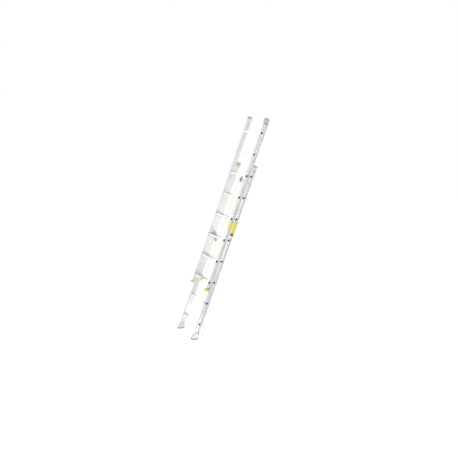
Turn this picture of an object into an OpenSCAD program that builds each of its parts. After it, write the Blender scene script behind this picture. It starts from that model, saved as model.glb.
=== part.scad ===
// Two-section aluminium extension ladder, standing in its working stance.
// The floor is z = 0, x runs along the rungs, and the ladder leans towards +y. The climber stands on the
// -y side. Sections are drawn upright, with z along the rails from the lowest base rung, then leaned back.

/* [Stance] */
// Angle that the rails lean back from upright
lean = 14.5; // [10:0.5:18]
// Number of rungs that the fly section is raised by
raised_rungs = 2; // [1:1:3]
// Height of the shoe pivots above the floor
pivot_height = 79; // [76:1:90]

/* [Sections] */
// Distance from one rung to the next
rung_pitch = 304.8; // [290:0.1:315]
// Length of the rails of each section
section_length = 2438.4; // [2430:0.1:2600]
// Overall width across the base rails
base_width = 427; // [400:1:480]
// How much further in the fly rails stand than the base rails, on each side
fly_inset = 6; // [5.5:0.1:7]
// Length of the base rails below the lowest base rung
base_tail = 160; // [155:1:170]
// Length of the fly rails below the lowest fly rung
fly_tail = 110; // [100:1:125]
// How far the fly rungs hang below the base rungs when the locks are seated
fly_drop = 15.6; // [12:0.1:18]

/* [Rails] */
// Depth of a rail, from front flange to rear flange
rail_depth = 64; // [60:1:72]
// Width of a base rail across its flanges
base_rail_width = 26; // [25:0.5:30]
// Width of a fly rail across its flanges
fly_rail_width = 25; // [24:0.5:26]
// Thickness of the rail webs
web_t = 2; // [1.6:0.1:3]
// Thickness of the rail flanges
flange_t = 2.4; // [2:0.1:3]
// Thickness of the bead along each flange's free edge
bead_t = 3.4; // [3:0.1:4]
// Width of the bead along each flange's free edge
bead_w = 3.5; // [2.5:0.1:5]
// Height of the guide track on the front of the base rails
track_h = 7; // [6.5:0.1:9]
// Wall thickness of the guide track
track_t = 2; // [1.6:0.1:2.4]
// Width of the track's mouth
mouth_w = 13; // [11:0.5:15]
// Clearance between the sliding faces of the two sections
slide_gap = 0.5; // [0.4:0.1:0.8]
// Thickness of the slide bar that runs in the track
bar_t = 3.3; // [2.8:0.1:3.6]
// Clearance on each side of the slide bar in the track
bar_side_gap = 1; // [0.6:0.1:1.5]
// Thickness of the neck that carries the slide bar
bar_neck_t = 5; // [4:0.5:7]

/* [Rungs] */
// Radius of the round underside of a rung
rung_r = 19.5; // [18.5:0.1:20]
// Height of the flat tread above the rung's centre
tread_h = 12; // [10:0.5:13]
// Wall thickness of a rung
rung_wall = 1.7; // [1.4:0.1:2.2]
// Radius of the open bore at a rung's ends
rung_bore_r = 15.6; // [14:0.1:16]
// Radius of the round neck that passes through the rail web
rung_neck_r = 17.2; // [16.6:0.1:17.6]
// Thickness of the swaged collars on both sides of the web
collar_t = 2.6; // [2:0.1:3.5]
// How far the inner collars stand out beyond the rung
collar_rim = 1; // [0.6:0.1:2]
// Number of grip ridges along the tread
ridges = 7; // [5:1:9]
// Height of the grip ridges
ridge_h = 0.8; // [0.5:0.1:1.2]

/* [End caps] */
// Wall thickness of the plastic caps and guides
cap_wall = 2.2; // [1.8:0.1:3]
// Height of a cap above the rail's end
cap_top = 12; // [9:1:16]
// Length of a cap's skirt down the rail
cap_skirt = 58; // [45:1:70]
// Length of the guide's skirt up the fly rail's bottom end
guide_skirt = 24; // [20:1:32]
// How far the guide's nose stands out in front of the fly rail
guide_nose = 12; // [8:1:14]
// Rounding of the caps' top edges
cap_round = 11; // [8:1:14]

/* [Rung locks] */
// Height of the lock's pivot above the base rung that it rests on
lock_pivot_up = 62; // [58:1:66]
// Distance of the lock's pivot in front of the base rung
lock_pivot_front = 66; // [62:1:68]
// Clearance around the rung in the hook's mouth
hook_gap = 0.4; // [0.3:0.1:0.8]
// Thickness of the hook casting
hook_t = 17; // [15:0.5:18]
// Radius of the lock's pivot pin
lock_pin_r = 4; // [3.5:0.1:4.5]
// Length of the spring tongue below its pin
tongue_len = 92; // [80:1:96]
// Thickness of the bracket's steel
bracket_t = 2.5; // [2:0.1:3]

/* [Shoes] */
// Length of the sole in front of the pivot
toe_len = 66; // [60:1:76]
// Length of the sole behind the pivot
heel_len = 26; // [24:1:32]
// Width of the sole
sole_w = 40; // [38:1:46]
// Thickness of the rubber tread pad
pad_t = 9.5; // [8:0.5:12]
// Thickness of the shoe's steel
shoe_t = 3; // [2.5:0.1:3.5]
// Side clearance between the shoe's ears and the rail
ear_gap = 0.5; // [0.4:0.1:0.8]
// Height of the shoe's pivot above the end of the rail
pivot_up = 32; // [28:1:34]
// Radius of the shoe's pivot bolt
bolt_r = 5; // [4.5:0.1:5.5]

/* [Pulley] */
// Radius of the sheave, where the rope's centre runs
sheave_r = 28; // [27:0.5:30]
// Distance of the sheave's centre below the top base rung
sheave_drop = 70; // [68:1:80]
// Width of the sheave
sheave_w = 13.6; // [13:0.1:15]
// Radius of the sheave's axle
axle_r = 4; // [3.5:0.1:4.5]

/* [Rope] */
// Diameter of the rope
rope_d = 9.5; // [9:0.1:10]

/* [Hidden] */
$fn = 48;

aluminium = [0.84, 0.85, 0.86];
bright_steel = [0.66, 0.67, 0.69];
cap_green = [0.78, 0.79, 0.36];
guide_yellow = [0.92, 0.82, 0.25];
black_plastic = [0.09, 0.09, 0.10];
rubber = [0.22, 0.22, 0.23];
nylon = [0.88, 0.87, 0.83];
rope_yellow = [0.93, 0.90, 0.45];

rungs = 8;              // rungs on each section, one node each
run_gap = 0.05;         // radial clearance of a pin or bolt in its hole
seat_gap = 0.3;         // clearance between pieces that move past each other
overlap = 1;            // how far a cutting shape reaches past the face that it cuts
half_depth = rail_depth / 2;
base_in = base_width / 2 - base_rail_width;                 // inner face of a base rail's web
fly_in = base_width / 2 - fly_inset - fly_rail_width;       // inner face of a fly rail's web
plane_gap = rail_depth + track_h + slide_gap;               // from the base rungs' plane to the fly's
base_low = -base_tail;
base_high = base_low + section_length;
fly_first = raised_rungs * rung_pitch - fly_drop;           // height of the lowest fly rung
fly_low = fly_first - fly_tail;
fly_high = fly_low + section_length;
slot_mid = base_rail_width / 2;                             // middle of the track, from the web's inner face
bar_w = base_rail_width - 2 * (track_t + bar_side_gap);
rope_r = rope_d / 2;
pivot_z = base_low + pivot_up;                              // height of the shoe pivots along the rails

// ---- placing ----

// Leans what is drawn in rail coordinates back into the working stance
module leaned() {
    translate([0, 0, pivot_height]) rotate([-lean, 0, 0]) translate([0, 0, -pivot_z]) children();
}

// Moves a profile drawn in the (y, z) plane to x0 and makes it w thick along x
module along_x(x0, w) {
    translate([x0, 0, 0]) rotate([90, 0, 90]) linear_extrude(w) children();
}

// A round bar along x
module bar_x(x0, x1, r, y = 0, z = 0) {
    translate([x0, y, z]) rotate([0, 90, 0]) cylinder(h = x1 - x0, r = r);
}

module left_side() {
    mirror([1, 0, 0]) children();
}

// Rectangle with rounded corners, made of squares and circles so that its arcs stay true
module round_rect(x0, x1, y0, y1, r) {
    translate([x0 + r, y0]) square([x1 - x0 - 2 * r, y1 - y0]);
    translate([x0, y0 + r]) square([x1 - x0, y1 - y0 - 2 * r]);
    for (x = [x0 + r, x1 - r], y = [y0 + r, y1 - r]) translate([x, y]) circle(r);
}

// ---- swept tubes ----

function unit(v) = v / norm(v);
// Smooth curve through points, with n steps between each pair
function curve(p, n) = let (last = len(p) - 1) [
    for (i = [0 : last - 1], k = [0 : n - 1]) let (t = k / n, a = p[max(i - 1, 0)], b = p[i], c = p[i + 1],
        d = p[min(i + 2, last)]) (2 * b + (c - a) * t + (2 * a - 5 * b + 4 * c - d) * t * t
        + (3 * b - a - 3 * c + d) * t * t * t) / 2,
    p[last]];
function tangents(p) = [for (i = [0 : len(p) - 1]) unit(p[min(i + 1, len(p) - 1)] - p[max(i - 1, 0)])];
// One side direction per ring, carried along the curve without twist
function sides(t) = [for (i = 0, s = unit(cross(t[0], [0, 1, 0.3])); i < len(t);
    i = i + 1, s = i < len(t) ? unit(s - (s * t[i]) * t[i]) : s) s];

// Round tube of radius r swept along points
module tube(p, r, facets) {
    t = tangents(p);
    s = sides(t);
    points = [for (i = [0 : len(p) - 1], k = [0 : facets - 1])
        let (a = 360 * k / facets) p[i] + r * (cos(a) * s[i] + sin(a) * cross(t[i], s[i]))];
    polyhedron(points, concat([[for (k = [0 : facets - 1]) k]], [for (i = [0 : len(p) - 2], k = [0 : facets - 1])
        [i * facets + k, (i + 1) * facets + k, (i + 1) * facets + (k + 1) % facets, i * facets + (k + 1) % facets]],
        [[for (k = [facets - 1 : -1 : 0]) (len(p) - 1) * facets + k]]));
}

// ---- rails ----

// Outward-opening channel, x = 0 at the web's inner face, y = 0 in the middle of its depth
module channel_profile(width) {
    translate([0, -half_depth]) square([web_t, rail_depth]);
    for (side = [-1, 1]) scale([1, side]) {
        translate([0, half_depth - flange_t]) square([width, flange_t]);
        translate([width - bead_w, half_depth - bead_t]) square([bead_w, bead_t]);
    }
}

// Base rail: the channel with a T-slot track along its front flange
module base_profile() {
    lip = (base_rail_width - mouth_w) / 2;
    channel_profile(base_rail_width);
    translate([0, -half_depth - track_h]) square([track_t, track_h + flange_t]);
    translate([base_rail_width - track_t, -half_depth - track_h]) square([track_t, track_h + flange_t]);
    translate([0, -half_depth - track_h]) square([lip, track_t]);
    translate([base_rail_width - lip, -half_depth - track_h]) square([lip, track_t]);
}

// Fly rail: the channel with a slide bar on its rear flange, which runs in the base rail's track
module fly_profile() {
    mid = base_in + slot_mid - fly_in;
    bar_y = half_depth + slide_gap + track_t + (track_h - track_t - bar_t) / 2;
    channel_profile(fly_rail_width);
    translate([mid - bar_neck_t / 2, half_depth - flange_t]) square([bar_neck_t, bar_y + flange_t - half_depth + overlap]);
    translate([mid - bar_w / 2, bar_y]) square([bar_w, bar_t]);
}

// Holes through a rail's web for the rungs' necks
module rung_holes(first) {
    for (i = [0 : rungs - 1]) bar_x(-overlap, web_t + overlap, rung_neck_r + 0.1, 0, first + i * rung_pitch);
}

module rivet_hole(y, z) {
    bar_x(-overlap, web_t + overlap, rivet_r + run_gap, y, z);
}

module base_rail() {
    color(aluminium) leaned() translate([base_in, 0, 0]) difference() {
        translate([0, 0, base_low]) linear_extrude(section_length) base_profile();
        rung_holes(0);
        bar_x(-overlap, web_t + overlap, bolt_r + run_gap, 0, pivot_z);
        rivet_hole(0, base_high - cap_rivet_down);
    }
}

module fly_rail() {
    color(aluminium) leaned() translate([fly_in, -plane_gap, 0]) difference() {
        translate([0, 0, fly_low]) linear_extrude(section_length) fly_profile();
        rung_holes(fly_first);
        bar_x(-overlap, web_t + overlap, lock_pin_r + run_gap, plane_gap - lock_pivot_front, lock_z);
        for (p = lock_rivets_at) rivet_hole(p[0], p[1]);
        rivet_hole(0, fly_high - cap_rivet_down);
        rivet_hole(0, fly_low + guide_rivet_up);
    }
}

// ---- rungs ----

// D-shaped outline with a flat tread
module rung_outline(r, flat) {
    intersection() {
        circle(r, $fn = 72);
        translate([-r, -r]) square([2 * r, r + flat]);
    }
}

// Hollow D with grip ridges on its tread
module rung_profile() {
    tread_w = 2 * sqrt(rung_r * rung_r - tread_h * tread_h);
    step = tread_w / (ridges + 1);
    difference() {
        union() {
            rung_outline(rung_r, tread_h);
            for (i = [1 : ridges]) translate([-tread_w / 2 + i * step - step / 4, 0]) square([step / 2, tread_h + ridge_h]);
        }
        rung_outline(rung_r - rung_wall, tread_h - rung_wall);
    }
}

// Collar and neck that are swaged onto the right-hand web, with the bore left open through them
module rung_end(inner) {
    difference() {
        union() {
            bar_x(inner - collar_t, inner, rung_r + collar_rim);
            bar_x(inner - overlap, inner + web_t + overlap, rung_neck_r);
            bar_x(inner + web_t, inner + web_t + collar_t, rung_r - collar_rim);
        }
        bar_x(inner - collar_t - overlap, inner + web_t + collar_t + overlap, rung_bore_r);
    }
}

// One rung between webs whose inner faces are at x = -inner and x = inner; the tread is level in use
module rung(inner, y, z) {
    color(aluminium) leaned() translate([0, y, z]) {
        rotate([lean, 0, 0]) along_x(-inner + collar_t, 2 * (inner - collar_t)) rung_profile();
        rung_end(inner);
        left_side() rung_end(inner);
    }
}

module base_rung(i) {
    rung(base_in, 0, (i - 1) * rung_pitch);
}

module fly_rung(i) {
    rung(fly_in, -plane_gap, fly_first + (i - 1) * rung_pitch);
}

// ---- caps and guides ----

rivet_r = 2.4;
rivet_head_r = 4.5;
rivet_head_t = 1.4;
cap_rivet_down = cap_skirt / 2;
guide_rivet_up = guide_skirt / 2;

// Moulded cap for the top end of a rail. y0 and y1 are how far it covers the depth; one side stays open
// where the other section slides past.
module end_cap(width, y0, y1, round_front, round_rear) {
    difference() {
        intersection() {
            translate([0, 0, -cap_skirt]) linear_extrude(cap_skirt + cap_top)
                round_rect(-cap_wall, width + cap_wall, y0, y1, cap_wall);
            along_x(-cap_wall, width + 2 * cap_wall) {
                translate([y0, -cap_skirt]) square([y1 - y0, cap_skirt + cap_top - cap_round]);
                translate([y0 + round_front, -cap_skirt])
                    square([y1 - y0 - round_front - round_rear, cap_skirt + cap_top]);
                if (round_front > 0) translate([y0 + round_front, cap_top - cap_round]) circle(cap_round);
                if (round_rear > 0) translate([y1 - round_rear, cap_top - cap_round]) circle(cap_round);
            }
        }
        translate([0, -half_depth - (round_front > 0 ? 0 : 2 * overlap), -cap_skirt - overlap])
            cube([width, rail_depth + 2 * overlap, cap_skirt + overlap]);
        bar_x(-cap_wall - overlap, 0, rivet_r + run_gap, 0, -cap_rivet_down);
    }
}

module base_cap() {
    color(cap_green) leaned() translate([base_in, 0, base_high])
        end_cap(base_rail_width, -half_depth, half_depth + cap_wall, 0, cap_round);
}

module fly_cap() {
    color(cap_green) leaned() translate([fly_in, -plane_gap, fly_high])
        end_cap(fly_rail_width, -half_depth - cap_wall, half_depth, cap_round, 0);
}

// Guide moulding on the fly rail's bottom end, with a nose that stands out to the front
module fly_guide() {
    base = -cap_top;
    color(guide_yellow) leaned() translate([fly_in, -plane_gap, fly_low]) difference() {
        along_x(-cap_wall, fly_rail_width + 2 * cap_wall) polygon([
            [half_depth, base + 4], [half_depth, guide_skirt], [-half_depth - cap_wall, guide_skirt],
            [-half_depth - guide_nose, guide_skirt / 2], [-half_depth - guide_nose, base / 3],
            [-half_depth, base], [half_depth - 8, base]]);
        translate([0, -half_depth, 0]) cube([fly_rail_width, rail_depth + overlap, guide_skirt + overlap]);
        bar_x(-cap_wall - overlap, 0, rivet_r + run_gap, 0, guide_rivet_up);
    }
}

// Blind rivet through a web and what lies on the web's inner face
module rivet(y, z, skin) {
    bar_x(-skin - rivet_head_t, -skin, rivet_head_r, y, z);
    bar_x(-skin - overlap / 2, web_t + overlap / 2, rivet_r, y, z);
    bar_x(web_t, web_t + rivet_head_t, rivet_head_r - 1, y, z);
}

module base_cap_rivets() {
    color(bright_steel) for (side = [0, 1]) mirror([side, 0, 0])
        leaned() translate([base_in, 0, 0]) rivet(0, base_high - cap_rivet_down, cap_wall);
}

module fly_end_rivets() {
    color(bright_steel) for (side = [0, 1]) mirror([side, 0, 0]) leaned() translate([fly_in, -plane_gap, 0]) {
        rivet(0, fly_high - cap_rivet_down, cap_wall);
        rivet(0, fly_low + guide_rivet_up, cap_wall);
    }
}

// ---- rung locks ----

lock_rung_z = (raised_rungs + 2) * rung_pitch;      // base rung that the hooks rest on
lock_z = lock_rung_z + lock_pivot_up;
lock_hub_r = 13;
bracket_in = fly_in - 30.5;                         // inner face of the bracket's inner ear
bracket_front = -plane_gap - 26;
bracket_rear = -plane_gap + 22;
bracket_low = lock_rung_z + tread_h;
bracket_high = lock_z + 3.5 * lock_hub_r;
hook_in = fly_in - 24;                              // inner face of the hook
lock_rivets_at = [[-16, bracket_low + 11], [3, bracket_low + 18], [-16, bracket_high - 12]];
tongue_y = 27;                                      // tongue's pin, behind the base rung
tongue_z = lock_rung_z - 2;
tongue_pin_r = 2.5;
tongue_t = 6;
tongue_in = hook_in + (hook_t - tongue_t) / 2;
spring_wire_r = 0.6;

// Side outline of the bracket, which is cut back at its rear corners
module bracket_outline() {
    polygon([[bracket_front, bracket_low], [bracket_rear - 21, bracket_low], [bracket_rear, bracket_low + 34],
        [bracket_rear, bracket_high - 30], [bracket_rear - 26, bracket_high], [bracket_front, bracket_high]]);
}

// Steel channel on the inner face of the fly rail
module lock_bracket() {
    color(bright_steel) leaned() difference() {
        along_x(bracket_in, fly_in - bracket_in) bracket_outline();
        translate([bracket_in + bracket_t, bracket_front + bracket_t, bracket_low - overlap])
            cube([fly_in - bracket_in - 2 * bracket_t, bracket_rear - bracket_front, bracket_high - bracket_low + 2 * overlap]);
        bar_x(bracket_in - overlap, fly_in + overlap, lock_pin_r + run_gap, -lock_pivot_front, lock_z);
        for (p = lock_rivets_at)
            bar_x(fly_in - bracket_t - overlap, fly_in + overlap, rivet_r + run_gap, p[0] - plane_gap, p[1]);
    }
}

module lock_rivets() {
    color(bright_steel) for (side = [0, 1]) mirror([side, 0, 0])
        leaned() translate([fly_in, -plane_gap, 0]) for (p = lock_rivets_at) rivet(p[0], p[1], bracket_t);
}

// Headed pin on which the hook turns, through the bracket and the web
module lock_pin() {
    color(bright_steel) leaned() {
        bar_x(bracket_in - 2, fly_in + web_t + overlap, lock_pin_r, -lock_pivot_front, lock_z);
        bar_x(fly_in + web_t, fly_in + web_t + 2.5, lock_pin_r + 3, -lock_pivot_front, lock_z);
        bar_x(bracket_in - 3.5, bracket_in - overlap / 2, lock_pin_r + 2, -lock_pivot_front, lock_z);
    }
}

// Torsion spring beside the hook's hub, with one leg on the bracket and one along the hook
module lock_spring() {
    coil_r = lock_pin_r + 2;
    x0 = hook_in + hook_t + seat_gap + spring_wire_r;
    pitch = 2 * spring_wire_r + 0.1;
    away = 592;                                     // angle at which the second leg leaves the coil
    coil = [for (a = [-90 : 22 : away]) [x0 + pitch * (a + 90) / 360, coil_r * cos(a), coil_r * sin(a)]];
    last = coil[len(coil) - 1];
    color(bright_steel) leaned() translate([0, -lock_pivot_front, lock_z])
        tube(concat([[x0, -22, -coil_r]], coil, [last + 34 * [0, -sin(away), cos(away)]]), spring_wire_r, 8);
}

// Side outline of the hook, y = 0, z = 0 at the centre of the base rung in its mouth
module hook_outline() {
    nose_y = rung_r + hook_gap;
    difference() {
        union() {
            translate([-lock_pivot_front, lock_pivot_up]) circle(lock_hub_r);
            translate([tongue_y, -2]) circle(7);
            polygon([[-lock_pivot_front - 5, lock_pivot_up - 11], [-nose_y - 14, 14], [-nose_y - 8, 6], [0, 6],
                [nose_y + 1, -8], [tongue_y + 6.5, -4], [tongue_y + 3, 16], [14, 31],
                [-lock_pivot_front + 6, lock_pivot_up + 11], [-lock_pivot_front, lock_pivot_up + 4]]);
        }
        rotate(lean) rung_outline(nose_y, tread_h + ridge_h + hook_gap);
        translate([-nose_y, -3 * rung_r]) square([2 * nose_y, 3 * rung_r]);
    }
}

// Cast hook: a thick rim with a pocket on each side, a hub and a fork for the tongue
module lock_hook() {
    pocket = [[-44, 54], [-30, 48], [8, 26], [0, 24], [-26, 26], [-46, 44]];
    core = hook_t / 4;
    color(aluminium) leaned() difference() {
        translate([0, 0, lock_rung_z]) along_x(hook_in, hook_t) hook_outline();
        for (x = [hook_in - overlap, hook_in + (hook_t + core) / 2])
            translate([0, 0, lock_rung_z]) along_x(x, (hook_t - core) / 2 + overlap) polygon(pocket);
        bar_x(hook_in - overlap, hook_in + hook_t + overlap, lock_pin_r + run_gap, -lock_pivot_front, lock_z);
        bar_x(hook_in - overlap, hook_in + hook_t + overlap, tongue_pin_r + run_gap, tongue_y, tongue_z);
        translate([tongue_in - seat_gap, rung_r, tongue_z - 20])
            cube([tongue_t + 2 * seat_gap, 30, 30]);
    }
}

module tongue_pin() {
    color(bright_steel) leaned() {
        bar_x(hook_in - 1.5, hook_in + hook_t + 1.5, tongue_pin_r, tongue_y, tongue_z);
    }
}

// Spring tongue that hangs behind the base rung and guides it past the hook
module lock_tongue() {
    paddle_w = 14;
    color(black_plastic) leaned() translate([0, tongue_y, tongue_z]) rotate([lean, 0, 0]) difference() {
        union() {
            along_x(tongue_in, tongue_t) {
                circle(5.5);
                translate([-4, -tongue_len + 8]) square([8, tongue_len - 8]);
            }
            along_x(tongue_in + (tongue_t - paddle_w) / 2, paddle_w)
                round_rect(-5.5, 5.5, -tongue_len, -38, 5);
        }
        bar_x(tongue_in - overlap, tongue_in + tongue_t + overlap, tongue_pin_r + run_gap);
    }
}

// ---- shoes ----

ear_in = base_in - ear_gap - shoe_t;                // inner face of the inner ear
ear_out = base_width / 2 + ear_gap;                 // inner face of the outer ear
sole_mid = base_in + base_rail_width / 2;
plate_z = pad_t - pivot_height;                     // underside of the shoe's floor plate, from the pivot

// Side outline of an ear, y = 0, z = 0 at the pivot
module ear_outline() {
    circle(16);
    polygon([[-11, 11.6], [-50.5, -20.5], [-toe_len + 3, plate_z + 36], [-toe_len - 6, plate_z + 25],
        [-toe_len - 9, plate_z + 14], [-toe_len - 4, plate_z + 3], [-toe_len + 3, plate_z], [heel_len, plate_z],
        [heel_len, plate_z + 12], [14.5, -7]]);
}

// Floor plate with its toe bent up and back, as one strip seen from the side
module toe_strip() {
    polygon([[heel_len, plate_z], [heel_len, plate_z + shoe_t], [-toe_len + 4, plate_z + shoe_t],
        [-toe_len - 2, plate_z + 5.5], [-toe_len - 5.8, plate_z + 14], [-toe_len - 3.4, plate_z + 23],
        [-toe_len + 5, plate_z + 33.8], [-48.4, -22.7], [-50.5, -20.5], [-toe_len + 3, plate_z + 36],
        [-toe_len - 6, plate_z + 25], [-toe_len - 9, plate_z + 14], [-toe_len - 4, plate_z + 3],
        [-toe_len + 3, plate_z]]);
}

module shoe() {
    color(bright_steel) translate([0, 0, pivot_height]) difference() {
        union() {
            for (x = [ear_in, ear_out]) along_x(x, shoe_t) ear_outline();
            along_x(ear_in, ear_out + shoe_t - ear_in) toe_strip();
            translate([sole_mid - sole_w / 2, -toe_len + 4, plate_z]) cube([sole_w, toe_len + heel_len - 4, shoe_t]);
        }
        bar_x(ear_in - overlap, ear_out + shoe_t + overlap, bolt_r + run_gap);
    }
}

// Ribbed rubber pad under the sole, turned up over the toe's lower edge
module shoe_pad() {
    cover = 2.5;
    groove_w = 4;
    grooves = 7;
    step = (toe_len + heel_len) / (grooves + 1);
    color(rubber) translate([sole_mid - sole_w / 2 + 1, 0, pivot_height]) difference() {
        along_x(0, sole_w - 2) polygon([[heel_len - 1, -pivot_height], [heel_len - 1, plate_z], [-toe_len + 3, plate_z],
            [-toe_len - 4, plate_z + 3], [-toe_len - 9, plate_z + 14], [-toe_len - 9 - cover, plate_z + 14],
            [-toe_len - 4 - cover, plate_z + 1], [-toe_len, -pivot_height]]);
        for (i = [1 : grooves]) translate([-overlap, -toe_len + i * step - groove_w / 2, -pivot_height - overlap])
            cube([sole_w + 2 * overlap, groove_w, pad_t / 3 + overlap]);
    }
}

module shoe_bolt() {
    color(bright_steel) translate([0, 0, pivot_height]) {
        bar_x(ear_in - 11, ear_out + shoe_t + overlap, bolt_r);
        bar_x(ear_out + shoe_t + seat_gap, ear_out + shoe_t + 2, 2.1 * bolt_r);
        translate([ear_out + shoe_t + overlap, 0, 0]) rotate([0, 90, 0]) cylinder(h = 6.4, r = 1.85 * bolt_r, $fn = 6);
    }
}

module shoe_nut() {
    color(bright_steel) translate([ear_in - seat_gap - 8, 0, pivot_height]) difference() {
        rotate([0, 90, 0]) cylinder(h = 8, r = 1.85 * bolt_r, $fn = 6);
        bar_x(-overlap, 8 + overlap, bolt_r + run_gap);
    }
}

// Tube that keeps the outer ear clear of the rail's web
module shoe_spacer() {
    color(bright_steel) translate([0, 0, pivot_height]) difference() {
        bar_x(base_in + web_t, ear_out - seat_gap, bolt_r + 3);
        bar_x(base_in, ear_out, bolt_r + run_gap);
    }
}

// ---- pulley ----

top_rung_z = (rungs - 1) * rung_pitch;
sheave_z = top_rung_z - sheave_drop;
cheek_in = sheave_w / 2 + 0.6;
cheek_t = 2;
strap_t = 2;
lug_low = sheave_z + sheave_r + rope_r + 1.2;
strap_bolt_z = lug_low + 7;
strap_bolt_r = 2.5;

// Strap round the top base rung, with a lug below for the block
module pulley_strap() {
    color(bright_steel) leaned() difference() {
        union() {
            translate([0, 0, top_rung_z]) rotate([lean, 0, 0]) along_x(-cheek_in, 2 * cheek_in)
                rung_outline(rung_r + seat_gap + strap_t, tread_h + ridge_h + seat_gap + strap_t);
            translate([-cheek_in, -5, lug_low]) cube([2 * cheek_in, 10, top_rung_z - rung_r - lug_low]);
        }
        translate([0, 0, top_rung_z]) rotate([lean, 0, 0]) along_x(-2 * cheek_in, 4 * cheek_in)
            rung_outline(rung_r + seat_gap, tread_h + ridge_h + seat_gap);
        bar_x(-2 * cheek_in, 2 * cheek_in, strap_bolt_r + run_gap, 0, strap_bolt_z);
    }
}

// Two cheek plates, joined by a cross pin below the sheave
module pulley_block() {
    cheek_r = 20;
    pin_y = 0;
    pin_z = sheave_z - sheave_r - 9;
    color(black_plastic) leaned() {
        for (x = [-cheek_in - cheek_t, cheek_in]) difference() {
            along_x(x, cheek_t) {
                translate([0, sheave_z]) circle(cheek_r);
                translate([0, strap_bolt_z]) circle(8);
                translate([pin_y, pin_z]) circle(6);
                polygon([[-14, sheave_z + 13], [-7, strap_bolt_z], [7, strap_bolt_z], [14, sheave_z + 13]]);
                polygon([[-13, sheave_z - 14], [-5, pin_z], [5, pin_z], [13, sheave_z - 14]]);
            }
            bar_x(x - overlap, x + cheek_t + overlap, axle_r + run_gap, 0, sheave_z);
            bar_x(x - overlap, x + cheek_t + overlap, strap_bolt_r + run_gap, 0, strap_bolt_z);
        }
        bar_x(-cheek_in - cheek_t / 2, cheek_in + cheek_t / 2, 2, pin_y, pin_z);
    }
}

// Grooved wheel
module pulley_sheave() {
    rim_r = sheave_r + 2.5;
    half_w = sheave_w / 2;
    color(nylon) leaned() translate([0, 0, sheave_z]) rotate([0, 90, 0]) rotate_extrude($fn = 72) difference() {
        translate([axle_r + run_gap, -half_w]) square([rim_r - axle_r - run_gap, sheave_w]);
        translate([sheave_r, 0]) circle(rope_r + seat_gap, $fn = 32);
        translate([sheave_r, -rope_r - seat_gap]) square([rim_r, 2 * (rope_r + seat_gap)]);
        for (side = [-1, 1]) translate([9, side * half_w - 2.5]) square([10, 5]);
    }
}

module pulley_axle() {
    color(bright_steel) leaned() {
        bar_x(-cheek_in - cheek_t - 1, cheek_in + cheek_t + 1, axle_r, 0, sheave_z);
        for (x = [-cheek_in - cheek_t - 2, cheek_in + cheek_t]) bar_x(x, x + 2, axle_r + 2, 0, sheave_z);
    }
}

module pulley_bolt() {
    color(bright_steel) leaned() {
        bar_x(-cheek_in - cheek_t - 1, cheek_in + cheek_t + 1, strap_bolt_r, 0, strap_bolt_z);
        for (x = [-cheek_in - cheek_t - 3.5, cheek_in + cheek_t])
            translate([x, 0, strap_bolt_z]) rotate([0, 90, 0]) cylinder(h = 3.5, r = strap_bolt_r + 2, $fn = 6);
    }
}

// ---- rope ----

turn_r = rung_r + rope_r + seat_gap;                // radius of the rope's centre round a rung
knot_stub = 56;                                     // length of rope above the knot that moves with the fly
knot_top = fly_first + knot_stub;
back_y = turn_r + 1.6;                              // where the free rope hangs behind the base rungs

// Taut part between the sheave and the knot
hoist_points = [[0, -sheave_r, sheave_z - 1], [0, turn_r - plane_gap, knot_top + seat_gap]];

// Half turn over the sheave, the run down behind the base rungs, one turn round the second rung, and the tail
sheave_turn = [for (a = [180 : -18 : 1]) [0, sheave_r * cos(a), sheave_z + sheave_r * sin(a)]];
run_down = [[0, sheave_r, sheave_z], [0, sheave_r, sheave_z - 40], [0, back_y, 4.5 * rung_pitch],
    [3, back_y, 3.2 * rung_pitch], [18, back_y, 2.55 * rung_pitch], [62, back_y, 1.85 * rung_pitch],
    [108, back_y, 1.38 * rung_pitch], [130, back_y + 1, 1.1 * rung_pitch]];
rung_turn = [for (a = [0 : -36 : -360]) [136 - a / 24, (turn_r + 1.3) * cos(a), rung_pitch + (turn_r + 1.3) * sin(a)]];
tail = [for (p = [[151, 36, -28], [152, 62, -43], [158, 93, -60], [165, 106, -87], [160, 103, -116],
    [144, 88, -148], [125, 70, -182], [115, 62, -216], [119, 68, -249], [130, 88, -279], [143, 110, -308],
    [152, 127, -339], [155, 136, -372], [151, 142, -406], [144, 145, -438], [136, 142, -468]])
    p + [0, 0, rung_pitch]];

module rope_hoist() {
    color(rope_yellow) leaned() tube(hoist_points, rope_r, 12);
}

module rope_haul() {
    color(rope_yellow) leaned() tube(concat(sheave_turn, run_down, rung_turn, curve(tail, 2)), rope_r, 8);
}

// Three turns round the lowest fly rung and the rope's standing part above them
module rope_knot() {
    color(rope_yellow) leaned() translate([0, -plane_gap, fly_first]) {
        for (i = [-1 : 1]) translate([i * rope_d * 0.98, 0, 0]) rotate([0, 90, 0])
            rotate_extrude() translate([turn_r, 0]) circle(rope_r, $fn = 24);
        translate([0, turn_r, 0]) cylinder(h = knot_stub, r = rope_r, $fn = 24);
    }
}

left_side() base_rail();  // base_rail_left
base_rail();  // base_rail_right
left_side() base_cap();  // base_cap_left
base_cap();  // base_cap_right
base_cap_rivets();
base_rung(1);  // base_rung_1
base_rung(2);  // base_rung_2
base_rung(3);  // base_rung_3
base_rung(4);  // base_rung_4
base_rung(5);  // base_rung_5
base_rung(6);  // base_rung_6
base_rung(7);  // base_rung_7
base_rung(8);  // base_rung_8
left_side() fly_rail();  // fly_rail_left
fly_rail();  // fly_rail_right
left_side() fly_cap();  // fly_cap_left
fly_cap();  // fly_cap_right
left_side() fly_guide();  // fly_guide_left
fly_guide();  // fly_guide_right
fly_end_rivets();
fly_rung(1);  // fly_rung_1
fly_rung(2);  // fly_rung_2
fly_rung(3);  // fly_rung_3
fly_rung(4);  // fly_rung_4
fly_rung(5);  // fly_rung_5
fly_rung(6);  // fly_rung_6
fly_rung(7);  // fly_rung_7
fly_rung(8);  // fly_rung_8
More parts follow.
